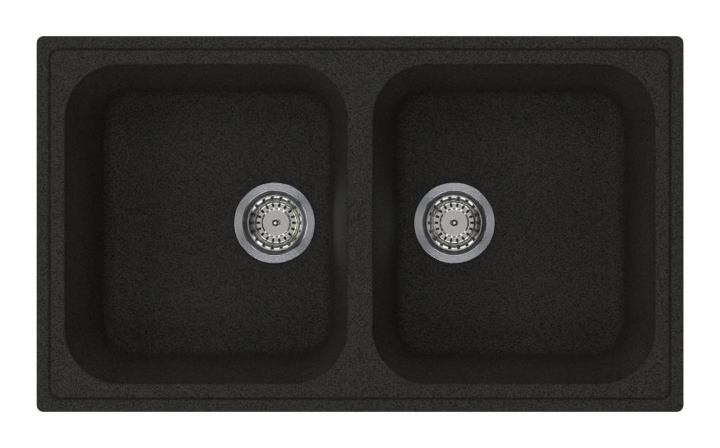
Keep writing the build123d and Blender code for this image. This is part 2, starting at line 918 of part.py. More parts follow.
with BuildPart() as overflow_elbow:
    box_height = elbow_top_z - sump_z
    box_middle_z = (elbow_top_z + sump_z) / 2
    with BuildSketch(Plane.YZ.offset(elbow_x)):
        with Locations((0, slot_z)):
            RectangleRounded(pad_width - elbow_wall, pad_height - elbow_wall, elbow_corner_radius)
    extrude(amount=-elbow_flange_thickness)
    with BuildSketch(Plane.YZ.offset(elbow_x)):
        with Locations((0, box_middle_z)):
            RectangleRounded(elbow_box_width, box_height, elbow_corner_radius)
    extrude(amount=-elbow_depth)
    with BuildSketch(Plane.XY.offset(sump_z)):
        with Locations((pipe_x, 0)):
            Circle(spigot_radius)
    extrude(amount=-spigot_length)
    # closed box behind the slot
    with BuildSketch(Plane.YZ.offset(elbow_x - elbow_wall)):
        with Locations((0, box_middle_z)):
            RectangleRounded(
                elbow_box_width - 2 * elbow_wall,
                box_height - 2 * elbow_wall,
                elbow_corner_radius - elbow_wall,
            )
    extrude(amount=2 * elbow_wall - elbow_depth, mode=Mode.SUBTRACT)
    with BuildSketch(Plane.YZ.offset(elbow_x)):
        with Locations((0, slot_z)):
            SlotOverall(overflow_slot_length, overflow_slot_height)
    extrude(amount=-elbow_depth / 2, mode=Mode.SUBTRACT)
    # way down through the spigot, with the pipe's socket
    with BuildSketch(Plane.XY.offset(sump_z + elbow_wall)):
        with Locations((pipe_x, 0)):
            Circle(elbow_depth / 2 - elbow_wall)
    extrude(amount=-spigot_length - elbow_wall, mode=Mode.SUBTRACT)
    with BuildSketch(Plane.XY.offset(spigot_end_z)):
        with Locations((pipe_x, 0)):
            Circle(pipe_radius + pipe_gap)
    extrude(amount=socket_depth, mode=Mode.SUBTRACT)
    with BuildSketch(Plane.YZ.offset(elbow_x)):
        with Locations(*screw_points):
            Circle(overflow_screw_radius + loose_gap)
    extrude(amount=-elbow_flange_thickness, mode=Mode.SUBTRACT)
save(overflow_elbow, "overflow_elbow")

with BuildPart() as overflow_screws:
    head_x = elbow_x - elbow_flange_thickness
    with BuildSketch(Plane.YZ.offset(head_x)):
        with Locations(*screw_points):
            Circle(overflow_screw_radius)
    extrude(amount=overflow_screw_length)
    with BuildSketch(Plane.YZ.offset(head_x)):
        with Locations(*screw_points):
            Circle(overflow_screw_head_radius)
    extrude(amount=-overflow_screw_head_height)
    heads = overflow_screws.faces().filter_by(Axis.X).group_by(Axis.X)[0]
    fillet(heads.edges(), overflow_screw_head_height / 3)
    with BuildSketch(Plane.YZ.offset(head_x - overflow_screw_head_height)):
        with Locations(*screw_points):
            RegularPolygon(overflow_screw_radius, 6)
    extrude(amount=overflow_screw_head_height / 2, mode=Mode.SUBTRACT)
save(overflow_screws, "overflow_screws")

with BuildPart() as overflow_inserts:
    with BuildSketch(Plane.YZ.offset(pad_x)):
        with Locations(*screw_points):
            Circle(overflow_insert_radius)
            Circle(overflow_screw_radius + thread_gap, mode=Mode.SUBTRACT)
    extrude(amount=overflow_insert_length)
save(overflow_inserts, "overflow_inserts")

with BuildPart() as overflow_pipe:
    with BuildLine() as pipe_line:
        FilletPolyline(
            (pipe_x, 0, pipe_top_z),
            (pipe_x, 0, branch_z),
            (pipe_end_x, 0, branch_z),
            radius=pipe_bend_radius,
        )
    with BuildSketch(Plane.XY.offset(pipe_top_z)):
        with Locations((pipe_x, 0)):
            Circle(pipe_radius)
            Circle(pipe_radius - pipe_wall, mode=Mode.SUBTRACT)
    sweep(path=pipe_line.line)
save(overflow_pipe, "overflow_pipe")

ring_planes = [
    Plane(origin=(pipe_x, 0, spigot_end_z), x_dir=(1, 0, 0), z_dir=(0, 0, -1)),
    Plane(origin=(branch_end_x, 0, branch_z), x_dir=(0, 1, 0), z_dir=(-1, 0, 0)),
]

with BuildPart() as overflow_rings:
    with BuildSketch(*ring_planes):
        Circle(spigot_radius - ring_gap)
        Circle(pipe_radius + ring_cord_gap, mode=Mode.SUBTRACT)
    extrude(amount=ring_thickness)
save(overflow_rings, "overflow_rings")

with BuildPart() as coupling_nuts:
    nut_planes = [plane.offset(ring_thickness + coupling_nut_end) for plane in ring_planes]
    with BuildSketch(*nut_planes):
        Circle(coupling_nut_radius)
        with PolarLocations(coupling_nut_radius, coupling_nut_ribs):
            Circle(coupling_rib_radius)
    extrude(amount=-coupling_nut_length)
    with BuildSketch(*nut_planes):
        Circle(pipe_radius + pipe_gap)
    extrude(amount=-coupling_nut_length, mode=Mode.SUBTRACT)
    with BuildSketch(*[plane.offset(ring_thickness) for plane in ring_planes]):
        Circle(spigot_radius + thread_gap)
    extrude(amount=-coupling_nut_length, mode=Mode.SUBTRACT)
save(coupling_nuts, "coupling_nuts")
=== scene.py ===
import math

import bpy
from bpy.props import FloatProperty, FloatVectorProperty, PointerProperty
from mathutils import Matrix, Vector


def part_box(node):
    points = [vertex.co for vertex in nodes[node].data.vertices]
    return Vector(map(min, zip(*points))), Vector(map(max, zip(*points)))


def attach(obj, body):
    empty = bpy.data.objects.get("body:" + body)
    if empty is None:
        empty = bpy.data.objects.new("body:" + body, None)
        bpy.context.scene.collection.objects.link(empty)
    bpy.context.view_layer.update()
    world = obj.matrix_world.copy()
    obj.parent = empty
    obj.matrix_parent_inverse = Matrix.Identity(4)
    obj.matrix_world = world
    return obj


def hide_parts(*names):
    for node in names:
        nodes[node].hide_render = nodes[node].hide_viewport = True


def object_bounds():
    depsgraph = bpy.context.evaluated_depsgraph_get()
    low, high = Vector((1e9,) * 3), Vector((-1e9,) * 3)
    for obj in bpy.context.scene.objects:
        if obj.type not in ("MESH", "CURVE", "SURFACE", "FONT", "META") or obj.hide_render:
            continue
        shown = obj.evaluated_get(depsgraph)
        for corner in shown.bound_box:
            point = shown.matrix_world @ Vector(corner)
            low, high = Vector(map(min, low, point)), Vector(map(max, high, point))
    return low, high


bl_info = {
    "name": "Double bowl kitchen sink",
    "version": (1, 0, 0),
    "blender": (4, 5, 0),
    "location": "View3D > Sidebar > Sink",
    "description": "Finishes, foam seal and stage for an inset double bowl sink",
    "category": "Add Mesh",
}

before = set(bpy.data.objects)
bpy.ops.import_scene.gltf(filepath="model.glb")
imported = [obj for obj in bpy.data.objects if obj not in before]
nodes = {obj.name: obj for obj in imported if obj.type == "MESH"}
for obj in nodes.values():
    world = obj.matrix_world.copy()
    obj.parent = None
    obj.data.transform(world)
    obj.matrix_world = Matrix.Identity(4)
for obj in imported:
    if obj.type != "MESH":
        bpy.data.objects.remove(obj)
cad_low, cad_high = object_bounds()

SIDES = ("left", "right")
CLIPS = (
    "front_left", "front_middle", "front_right", "back_left",
    "back_middle", "back_right", "left", "right",
)
MM = 0.001
BLACK = [0.0, 0.0, 0.0, 1.0]
WHITE = [1.0, 1.0, 1.0, 1.0]
THREAD_PITCH = 2.3 * MM


# ---------------------------------------------------------------------------
# Settings a user would change
# ---------------------------------------------------------------------------


class SinkFinish(bpy.types.PropertyGroup):
    composite: FloatVectorProperty(
        name="Composite", description="Colour of the stone composite",
        subtype="COLOR", size=3, min=0, max=1, default=(0.0376, 0.0370, 0.0312),
    )
    grain_size: FloatProperty(
        name="Grain size", description="Width of a quartz grain in the composite",
        subtype="DISTANCE", unit="LENGTH", default=0.85 * MM, min=0.2 * MM, max=4 * MM,
    )
    grain_relief: FloatProperty(
        name="Grain relief", description="How far the grains stand out of the resin",
        subtype="DISTANCE", unit="LENGTH", default=0.10 * MM, min=0, max=1 * MM,
    )
    steel: FloatVectorProperty(
        name="Steel", description="Colour of the brushed stainless steel",
        subtype="COLOR", size=3, min=0, max=1, default=(0.60, 0.62, 0.66),
    )
    basket_steel: FloatVectorProperty(
        name="Basket steel", description="Colour of the pressed and polished basket",
        subtype="COLOR", size=3, min=0, max=1, default=(0.80, 0.785, 0.74),
    )
    plating: FloatVectorProperty(
        name="Plating", description="Colour of the chrome plated knob",
        subtype="COLOR", size=3, min=0, max=1, default=(0.80, 0.80, 0.80),
    )
    foam: FloatVectorProperty(
        name="Foam", description="Colour of the seal under the rim",
        subtype="COLOR", size=3, min=0, max=1, default=(0.075, 0.075, 0.078),
    )
    seal_width: FloatProperty(
        name="Seal width", description="Width of the foam strip under the rim",
        subtype="DISTANCE", unit="LENGTH", default=4.6 * MM, min=1 * MM, max=20 * MM,
    )
    seal_corner: FloatProperty(
        name="Seal corner", description="Radius of the foam strip's corners, on the outside",
        subtype="DISTANCE", unit="LENGTH", default=6.3 * MM, min=5 * MM, max=50 * MM,
    )
    rubber: FloatVectorProperty(
        name="Rubber", description="Colour of the gaskets and plugs",
        subtype="COLOR", size=3, min=0, max=1, default=(0.022, 0.022, 0.022),
    )
    plastic: FloatVectorProperty(
        name="Plastic", description="Colour of the moulded waste bodies, pipe and nuts",
        subtype="COLOR", size=3, min=0, max=1, default=(0.72, 0.72, 0.70),
    )
    zinc: FloatVectorProperty(
        name="Zinc", description="Colour of the plated clips and screws",
        subtype="COLOR", size=3, min=0, max=1, default=(0.56, 0.57, 0.58),
    )
    brass: FloatVectorProperty(
        name="Brass", description="Colour of the inserts and nuts",
        subtype="COLOR", size=3, min=0, max=1, default=(0.72, 0.52, 0.22),
    )


class SinkStage(bpy.types.PropertyGroup):
    camera_height: FloatProperty(
        name="Camera height", description="Height of the camera above the deck",
        subtype="DISTANCE", unit="LENGTH", default=3.55, min=1, max=10,
    )
    camera_x: FloatProperty(
        name="Camera to the right",
        description="How far right of the sink's middle the camera is",
        subtype="DISTANCE", unit="LENGTH", default=0.111, min=-1, max=1,
    )
    camera_y: FloatProperty(
        name="Camera to the back",
        description="How far behind the sink's middle the camera is",
        subtype="DISTANCE", unit="LENGTH", default=0.025, min=-1, max=1,
    )
    picture_width: FloatProperty(
        name="Picture width", description="Width of the picture at the deck's height",
        subtype="DISTANCE", unit="LENGTH", default=0.9558, min=0.2, max=5,
    )
    floor: FloatVectorProperty(
        name="Floor", description="Colour of the floor",
        subtype="COLOR", size=3, min=0, max=1, default=(0.90, 0.90, 0.90),
    )
    strip_power: FloatProperty(
        name="Strip lights", description="Power of each of the two strip lights",
        subtype="POWER", unit="POWER", default=9.8, min=0, max=1000,
    )
    side_power: FloatProperty(
        name="Side lights", description="Power of a light at the sides, before its own share",
        subtype="POWER", unit="POWER", default=9.0, min=0, max=1000,
    )
    key_power: FloatProperty(
        name="Key light",
        description="Power of the light straight above, which the flanges mirror",
        subtype="POWER", unit="POWER", default=1.5, min=0, max=1000,
    )
    room_light: FloatProperty(
        name="Room light", description="Strength of the even light from all round",
        default=0.03, min=0, max=10,
    )


# ---------------------------------------------------------------------------
# Nodes
# ---------------------------------------------------------------------------


class Wiring:
    """Adds nodes to one node tree and links them."""

    def __init__(self, tree):
        self.tree = tree

    def add(self, kind, inputs=None, **settings):
        node = self.tree.nodes.new(kind)
        for name, value in settings.items():
            setattr(node, name, value)
        for name, value in (inputs or {}).items():
            self.put(value, node.inputs[name])
        return node

    def put(self, value, socket):
        if isinstance(value, bpy.types.NodeSocket):
            self.tree.links.new(value, socket)
        else:
            socket.default_value = value

    def math(self, operation, *values):
        node = self.tree.nodes.new("ShaderNodeMath")
        node.operation = operation
        for value, socket in zip(values, node.inputs):
            self.put(value, socket)
        return node.outputs[0]

    def vector(self, operation, *values):
        node = self.tree.nodes.new("ShaderNodeVectorMath")
        node.operation = operation
        for value, socket in zip(values, node.inputs):
            self.put(value, socket)
        return node.outputs["Vector"]

    def xyz(self, vector):
        return self.add("ShaderNodeSeparateXYZ", {"Vector": vector}).outputs

    def channels(self, colour):
        return self.add("ShaderNodeSeparateColor", {"Color": colour}).outputs

    def from_axis(self, vector):
        """Distance from the upright axis through the vector's origin."""
        x, y, z = self.xyz(vector)
        squares = self.math("MULTIPLY_ADD", x, x, self.math("MULTIPLY", y, y))
        return self.math("SQRT", squares)

    def between(self, value, low, high, to_low=0.0, to_high=1.0):
        node = self.add("ShaderNodeMapRange", {
            "Value": value, "From Min": low, "From Max": high,
            "To Min": to_low, "To Max": to_high,
        })
        return node.outputs["Result"]

    def tint(self, share, first, second):
        """Two colours mixed by a share from 0 to 1."""
        node = self.tree.nodes.new("ShaderNodeMix")
        node.data_type = "RGBA"
        sockets = {s.identifier: s for s in node.inputs}
        self.put(share, sockets["Factor_Float"])
        self.put(first, sockets["A_Color"])
        self.put(second, sockets["B_Color"])
        return next(s for s in node.outputs if s.identifier == "Result_Color")

    def noise(self, vector, scale, detail=2.0, roughness=0.5):
        node = self.add("ShaderNodeTexNoise", {
            "Vector": vector, "Scale": scale, "Detail": detail, "Roughness": roughness,
        })
        return node.outputs["Fac"]


def new_group(name, inputs, outputs):
    """A shader node group; returns its wiring, what it is given and what it puts out."""
    tree = bpy.data.node_groups.new(name, "ShaderNodeTree")
    kinds = {"float": "NodeSocketFloat", "vector": "NodeSocketVector"}
    for label, kind, default in inputs:
        socket = tree.interface.new_socket(label, in_out="INPUT", socket_type=kinds[kind])
        if default is not None:
            socket.default_value = default
    for label, kind in outputs:
        tree.interface.new_socket(label, in_out="OUTPUT", socket_type=kinds[kind])
    wiring = Wiring(tree)
    return wiring, wiring.add("NodeGroupInput").outputs, wiring.add("NodeGroupOutput").inputs


def stone_grain():
    """Quartz grains bound in resin: each grain's shade and tint, and their relief."""
    w, given, out = new_group(
        "stone_grain",
        [
            ("Vector", "vector", None),
            ("Grain size", "float", 1.0 * MM), ("Contrast", "float", 1.0),
        ],
        [
            ("Shade", "float"), ("Tint", "float"),
            ("Height", "float"), ("Bright grains", "float"),
        ],
    )
    size = given["Grain size"]
    scale = w.math("DIVIDE", 1.0, size)

    # Grains of two sizes, with their outlines made uneven
    swirl_scale = w.math("MULTIPLY", scale, 2.0)
    swirl = w.add("ShaderNodeTexNoise", {"Vector": given["Vector"], "Scale": swirl_scale})
    offset = w.vector("SUBTRACT", swirl.outputs["Color"], (0.5, 0.5, 0.5))
    uneven = w.vector("MULTIPLY_ADD", offset, size, given["Vector"])
    sand_scale = w.math("MULTIPLY", scale, 2.3)
    grains = w.add("ShaderNodeTexVoronoi", {"Vector": uneven, "Scale": scale})
    sand = w.add("ShaderNodeTexVoronoi", {"Vector": uneven, "Scale": sand_scale})
    grain = w.channels(grains.outputs["Color"])
    speck = w.channels(sand.outputs["Color"])
    mixed = w.math("MULTIPLY_ADD", speck[0], 0.35, w.math("MULTIPLY", grain[0], 0.65))
    tint = w.math("MULTIPLY_ADD", speck[1], 0.4, w.math("MULTIPLY", grain[1], 0.6))

    # Mostly dark, with few light grains; the shade is 1 on average
    mean_square = 0.28
    square = w.math("POWER", mixed, 2.0)
    spread = w.math("MULTIPLY", given["Contrast"], 1.0 / mean_square)
    lift = w.math("MULTIPLY", w.math("SUBTRACT", square, mean_square), spread)
    shade = w.math("MAXIMUM", w.math("ADD", lift, 1.0), 0.05)
    cloud = w.noise(given["Vector"], w.math("MULTIPLY", scale, 0.010), 2.0)
    patchy = w.between(cloud, 0.3, 0.7, 0.985, 1.015)
    dome = w.math("SUBTRACT", 1.0, sand.outputs["Distance"])
    w.put(w.math("MULTIPLY", shade, patchy), out["Shade"])
    w.put(tint, out["Tint"])
    w.put(w.math("MULTIPLY_ADD", mixed, 0.6, dome), out["Height"])
    w.put(w.between(speck[2], 0.94, 1.0), out["Bright grains"])
    return w.tree


def turned_lines():
    """Fine lines round an axis, as brushing or turning leaves them."""
    w, given, out = new_group(
        "turned_lines",
        [
            ("Vector", "vector", None),
            ("Lines per metre", "float", 2500.0), ("Breaks", "float", 3.0),
        ],
        [("Line", "float")],
    )
    x, y, z = w.xyz(given["Vector"])
    radius = w.math("MAXIMUM", w.from_axis(given["Vector"]), 0.01 * MM)
    along = w.math("ADD", radius, z)
    place = w.add("ShaderNodeCombineXYZ", {
        "X": w.math("MULTIPLY", along, given["Lines per metre"]),
        "Y": w.math("MULTIPLY", w.math("DIVIDE", x, radius), given["Breaks"]),
        "Z": w.math("MULTIPLY", w.math("DIVIDE", y, radius), given["Breaks"]),
    })
    w.put(w.noise(place.outputs[0], 1.0, 4.0, 0.65), out["Line"])
    return w.tree


def handling_marks():
    """Soft cloudy marks that handling and water leave on a smooth surface."""
    w, given, out = new_group(
        "handling_marks",
        [("Vector", "vector", None), ("Marks per metre", "float", 60.0)],
        [("Mark", "float")],
    )
    broad = w.noise(given["Vector"], given["Marks per metre"], 4.0, 0.6)
    fine = w.noise(given["Vector"], w.math("MULTIPLY", given["Marks per metre"], 7.0), 3.0, 0.6)
    both = w.math("ADD", w.math("MULTIPLY", broad, 0.7), w.math("MULTIPLY", fine, 0.3))
    w.put(w.between(both, 0.35, 0.65), out["Mark"])
    return w.tree


def moulded_skin():
    """The slight unevenness of moulded plastic and rubber."""
    w, given, out = new_group(
        "moulded_skin",
        [("Vector", "vector", None), ("Texture per metre", "float", 1500.0)],
        [("Height", "float"), ("Shade", "float")],
    )
    fine = w.noise(given["Vector"], given["Texture per metre"], 3.0, 0.6)
    broad = w.noise(given["Vector"], w.math("MULTIPLY", given["Texture per metre"], 0.02), 3.0)
    w.put(w.math("MULTIPLY_ADD", broad, 2.0, fine), out["Height"])
    w.put(w.between(broad, 0.3, 0.7), out["Shade"])
    return w.tree


def outlet_thread():
    """The pipe thread round an outlet: one ridge that climbs by its pitch each turn, with
    painted shade in the groove between the turns.
    """
    w, given, out = new_group(
        "outlet_thread",
        [
            ("Vector", "vector", None), ("Pitch", "float", THREAD_PITCH),
            ("Inside", "float", 0.0), ("Start", "float", 0.0), ("End", "float", 0.0),
        ],
        [("Height", "float"), ("Painted groove shade", "float")],
    )
    x, y, z = w.xyz(given["Vector"])
    turn = w.math("DIVIDE", w.math("ARCTAN2", y, x), math.tau)
    climb = w.math("ADD", w.math("DIVIDE", z, given["Pitch"]), turn)
    ridge = w.between(w.math("PINGPONG", climb, 0.5), 0.08, 0.42)
    outside = w.math("GREATER_THAN", w.from_axis(given["Vector"]), given["Inside"])
    above = w.between(z, given["Start"], w.math("ADD", given["Start"], 0.5 * MM))
    below = w.between(z, w.math("SUBTRACT", given["End"], 1.5 * MM), given["End"], 1.0, 0.0)
    here = w.math("MULTIPLY", outside, w.math("MULTIPLY", above, below))
    w.put(w.math("MULTIPLY", w.math("SUBTRACT", ridge, 1.0), here), out["Height"])
    # Painted shade: how much the groove between the ridges is darkened in the colour
    w.put(w.math("MULTIPLY", w.math("SUBTRACT", 1.0, ridge), here), out["Painted groove shade"])
    return w.tree


GROUPS = {}


def effect(maker):
    """The node group that a function makes, built once."""
    if maker.__name__ not in GROUPS:
        GROUPS[maker.__name__] = maker()
    return GROUPS[maker.__name__]


class Finish(Wiring):
    """A material: its wiring, its shader and the object's own coordinates from a centre."""

    def __init__(self, name, centre=(0.0, 0.0, 0.0), **shader):
        self.material = bpy.data.materials.new(name)
        self.material.use_nodes = True
        super().__init__(self.material.node_tree)
        self.shader = self.tree.nodes["Principled BSDF"]
        coordinates = self.add("ShaderNodeTexCoord")
        mapping = self.add("ShaderNodeMapping", {"Vector": coordinates.outputs["Object"]})
        mapping.inputs["Location"].default_value = [-c for c in centre]
        self.place = mapping.outputs["Vector"]
        for label, value in shader.items():
            self.put(value, self.shader.inputs[label.replace("_", " ")])

    def group(self, maker, **inputs):
        """An effect's outputs in this material, from the values that are given by name."""
        node = self.add("ShaderNodeGroup", node_tree=effect(maker))
        inputs.setdefault("Vector", self.place)
        for label, value in inputs.items():
            self.put(value, node.inputs[label.replace("_", " ")])
        return node.outputs

    def set(self, label, value):
        self.put(value, self.shader.inputs[label])

    def bump(self, height, distance):
        node = self.add("ShaderNodeBump", {
            "Height": height, "Distance": distance, "Strength": 1.0,
        })
        self.put(node.outputs["Normal"], self.shader.inputs["Normal"])

    def shades(self, share, low, high, colour):
        """The base colour between two brightnesses of one colour."""
        dark = [c * low for c in colour] + [1.0]
        light = [min(1.0, c * high) for c in colour] + [1.0]
        self.set("Base Color", self.tint(share, dark, light))


def upright_axis(name):
    """Where a CAD node's middle stands on the plan."""
    low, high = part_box(name)
    return ((low.x + high.x) / 2, (low.y + high.y) / 2, 0.0)


def dress(material, *names):
    """Gives CAD nodes a material."""
    for name in names:
        mesh = nodes[name].data
        mesh.materials.clear()
        mesh.materials.append(material)


# ---------------------------------------------------------------------------
# Pieces
# ---------------------------------------------------------------------------


class SINK_OT_basin(bpy.types.Operator):
    """Gives the basin its matt black stone composite, with painted shade in the deck's groove,
    on the rim's edge and on the deck
    """

    bl_idname = "sink.basin"
    bl_label = "Basin"

    def painted_groove_and_edge_shade(self, f):
        """Where shade is painted: 1 down in the deck's groove and on the rim's edge, 0 on the
        deck and in the bowls.
        """
        x, y, z = f.xyz(f.place)
        from_end = f.math("SUBTRACT", cad_high.x, f.math("ABSOLUTE", x))
        from_side = f.math("SUBTRACT", cad_high.y, f.math("ABSOLUTE", y))
        inset = f.math("MINIMUM", from_end, from_side)
        past_groove, groove_bottom = 30 * MM, cad_high.z - 1.4 * MM
        outside_bowls = f.between(inset, past_groove, past_groove + 3 * MM, 1.0, 0.0)
        below_deck = f.between(z, groove_bottom, cad_high.z - 0.05 * MM, 1.0, 0.0)
        return f.math("MULTIPLY", outside_bowls, below_deck)

    def painted_shade(self, f):
        """The painted shade, as the share of the light colour taken away: most in the groove and
        on the rim's edge, a quarter on the deck to make it darker than the bowls.
        """
        height = f.xyz(f.place)["Z"]
        deck_shade = f.between(height, cad_high.z - 14 * MM, cad_high.z - 3 * MM)
        groove_shade = f.math("MULTIPLY", self.painted_groove_and_edge_shade(f), 0.75)
        return f.math("MAXIMUM", groove_shade, f.math("MULTIPLY", deck_shade, 0.25))

    def execute(self, context):
        chosen = context.scene.sink_finish
        f = Finish("black_composite", Roughness=0.60, Specular_IOR_Level=0.2)
        # Grains are taller than wide, so that the steep walls show them from above
        tall = f.vector("MULTIPLY", f.place, (1.0, 1.0, 0.45))
        grain = f.group(stone_grain, Vector=tall, Grain_size=chosen.grain_size, Contrast=1.35)
        warm = [c * k for c, k in zip(chosen.composite, (2.9, 1.95, 1.4))] + [1.0]
        cool = [c * k for c, k in zip(chosen.composite, (1.3, 2.05, 2.8))] + [1.0]
        light = f.tint(f.between(grain["Tint"], 0.2, 0.8), warm, cool)
        resin = f.tint(f.math("MULTIPLY", grain["Shade"], 0.5), BLACK, light)
        quartz = [c * 4.0 for c in chosen.composite] + [1.0]
        surface = f.tint(f.math("MULTIPLY", grain["Bright grains"], 0.5), resin, quartz)
        # Painted shade: the deck's groove and the rim's edge are darkened as if in shade, and
        # the deck is a quarter darker than the bowls
        f.set("Base Color", f.tint(self.painted_shade(f), surface, BLACK))
        f.set("Roughness", f.between(grain["Shade"], 0.0, 2.0, 0.68, 0.52))
        f.bump(grain["Height"], chosen.grain_relief)
        dress(f.material, "sink_basin")
        return {"FINISHED"}


class SINK_OT_strainers(bpy.types.Operator):
    """Gives the strainer flanges, baskets and knobs their steel and plating"""

    bl_idname = "sink.strainers"
    bl_label = "Strainers"

    def execute(self, context):
        chosen = context.scene.sink_finish
        for side in SIDES:
            axis = upright_axis(f"{side}_strainer_flange")
            f = Finish(f"brushed_flange_{side}", axis, Metallic=1.0, Anisotropic=0.85)
            f.set("Anisotropic Rotation", 0.25)
            lines = f.group(turned_lines, Lines_per_metre=3500.0, Breaks=2.0)
            f.shades(lines["Line"], 0.92, 1.05, chosen.steel)
            # Satin in the cup, polished on the lip and brushed on the flat ring
            cup_edge, lip_edge = 43.0 * MM, 46.0 * MM
            radius = f.from_axis(f.place)
            brushed = f.between(radius, lip_edge, lip_edge + 1.5 * MM)
            rough = f.between(lines["Line"], 0.3, 0.7, 0.27, 0.22)
            polished = f.between(radius, cup_edge, cup_edge + 0.6 * MM, 0.35, 0.12)
            f.set("Roughness", f.between(brushed, 0.0, 1.0, polished, rough))
            f.bump(lines["Line"], f.math("MULTIPLY", brushed, 0.01 * MM))
            dress(f.material, f"{side}_strainer_flange")

            f = Finish(f"pressed_basket_{side}", axis, Metallic=1.0)
            lines = f.group(turned_lines, Lines_per_metre=1800.0, Breaks=4.0)
            marks = f.group(handling_marks, Marks_per_metre=90.0)
            f.shades(marks["Mark"], 0.94, 1.04, chosen.basket_steel)
            f.set("Roughness", f.between(marks["Mark"], 0.0, 1.0, 0.12, 0.18))
            f.bump(lines["Line"], 0.004 * MM)
            dress(f.material, f"{side}_strainer_basket")

            f = Finish(f"plated_knob_{side}", axis, Metallic=1.0)
            marks = f.group(handling_marks, Marks_per_metre=200.0)
            f.shades(marks["Mark"], 0.96, 1.0, chosen.plating)
            f.set("Roughness", f.between(marks["Mark"], 0.0, 1.0, 0.12, 0.20))
            dress(f.material, f"{side}_basket_knob")
        return {"FINISHED"}


class SINK_OT_wastes(bpy.types.Operator):
    """Finishes the waste bodies, gaskets, plugs, pins and centre screws"""

    bl_idname = "sink.wastes"
    bl_label = "Wastes"

    def moulded(self, f, relief, light, node):
        """Light grey moulded plastic, with its relief in mm and the share of its colour it keeps
        under painted shade.
        """
        plastic = bpy.context.scene.sink_finish.plastic
        skin = f.group(moulded_skin)
        f.shades(f.math("MULTIPLY", skin["Shade"], light), 0.90, 1.03, plastic)
        f.set("Roughness", f.between(skin["Shade"], 0.0, 1.0, 0.46, 0.38))
        f.bump(f.math("MULTIPLY_ADD", skin["Height"], 0.03, relief), 1.0 * MM)
        dress(f.material, node)

    def turned(self, name, node, axis, colour, shades, roughness, relief):
        """Turned metal, with its lines round the drain's axis."""
        f = Finish(name, axis, Metallic=1.0)
        lines = f.group(turned_lines, Lines_per_metre=4000.0, Breaks=1.0)
        f.shades(lines["Line"], *shades, colour)
        f.set("Roughness", f.between(lines["Line"], 0.3, 0.7, *roughness))
        f.bump(lines["Line"], relief)
        dress(f.material, node)

    def execute(self, context):
        chosen = context.scene.sink_finish
        for side in SIDES:
            f = Finish(f"moulded_waste_{side}", upright_axis(f"{side}_basket_knob"))
            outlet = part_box(f"{side}_waste_body")[0].z
            thread = f.group(
                outlet_thread, Pitch=THREAD_PITCH, Inside=23 * MM,
                Start=outlet + 1 * MM, End=outlet + 22 * MM,
            )
            # Painted shade in the thread's groove: the colour keeps 60 % at its deepest
            light = f.math("SUBTRACT", 1.0, f.math("MULTIPLY", thread["Painted groove shade"], 0.4))
            self.moulded(f, thread["Height"], light, f"{side}_waste_body")
        self.moulded(Finish("moulded_elbow"), 0.0, 1.0, "overflow_elbow")

        f = Finish("gasket_rubber", Roughness=0.65)
        skin = f.group(moulded_skin, Texture_per_metre=2500.0)
        f.shades(skin["Shade"], 0.85, 1.2, chosen.rubber)
        f.set("Roughness", f.between(skin["Shade"], 0.0, 1.0, 0.72, 0.60))
        f.bump(skin["Height"], 0.04 * MM)
        dress(f.material, *[
            f"{side}_{piece}" for side in SIDES
            for piece in ("flange_gasket", "body_gasket", "basket_plug")
        ], "overflow_gasket", "overflow_rings")

        f = Finish("pin_plastic", Roughness=0.45)
        skin = f.group(moulded_skin, Texture_per_metre=3000.0)
        f.shades(skin["Shade"], 0.9, 1.15, [c * 1.6 for c in chosen.rubber])
        f.bump(skin["Height"], 0.02 * MM)
        dress(f.material, "left_basket_pin", "right_basket_pin")

        for side in SIDES:
            axis = upright_axis(f"{side}_waste_screw")
            self.turned(
                f"turned_screw_{side}", f"{side}_waste_screw", axis,
                chosen.basket_steel, (0.9, 1.05), (0.20, 0.30), 0.01 * MM,
            )
            self.turned(
                f"turned_nut_{side}", f"{side}_waste_nut", axis,
                chosen.brass, (0.85, 1.05), (0.24, 0.36), 0.015 * MM,
            )
        return {"FINISHED"}


class SINK_OT_overflow(bpy.types.Operator):
    """Finishes the overflow pipe and its coupling nuts"""

    bl_idname = "sink.overflow"
    bl_label = "Overflow"

    def execute(self, context):
        chosen = context.scene.sink_finish
        f = Finish("pipe_plastic", Roughness=0.35)
        skin = f.group(moulded_skin, Texture_per_metre=700.0)
        f.shades(skin["Shade"], 0.97, 1.04, chosen.plastic)
        f.set("Roughness", f.between(skin["Shade"], 0.0, 1.0, 0.38, 0.30))
        f.bump(skin["Height"], 0.02 * MM)
        dress(f.material, "overflow_pipe")

        f = Finish("nut_plastic", Roughness=0.4)
        skin = f.group(moulded_skin, Texture_per_metre=1800.0)
        f.shades(skin["Shade"], 0.88, 0.96, chosen.plastic)
        f.set("Roughness", f.between(skin["Shade"], 0.0, 1.0, 0.48, 0.38))
        f.bump(skin["Height"], 0.03 * MM)
        dress(f.material, "coupling_nuts")
        return {"FINISHED"}


class SINK_OT_fixings(bpy.types.Operator):
    """Finishes the clips, screws and inserts under the rim"""

    bl_idname = "sink.fixings"
    bl_label = "Fixings"

    def execute(self, context):
        chosen = context.scene.sink_finish
        f = Finish("zinc_plate", Metallic=1.0)
        marks = f.group(handling_marks, Marks_per_metre=140.0)
        f.shades(marks["Mark"], 0.82, 1.05, chosen.zinc)
        f.set("Roughness", f.between(marks["Mark"], 0.0, 1.0, 0.42, 0.30))
        f.bump(marks["Mark"], 0.02 * MM)
        dress(f.material, *[f"clip_{clip}" for clip in CLIPS], "clip_screws", "overflow_screws")

        f = Finish("insert_brass", Metallic=1.0)
        marks = f.group(handling_marks, Marks_per_metre=300.0)
        f.shades(marks["Mark"], 0.85, 1.05, chosen.brass)
        f.set("Roughness", f.between(marks["Mark"], 0.0, 1.0, 0.36, 0.26))
        dress(f.material, "clip_inserts", "overflow_inserts")
        return {"FINISHED"}


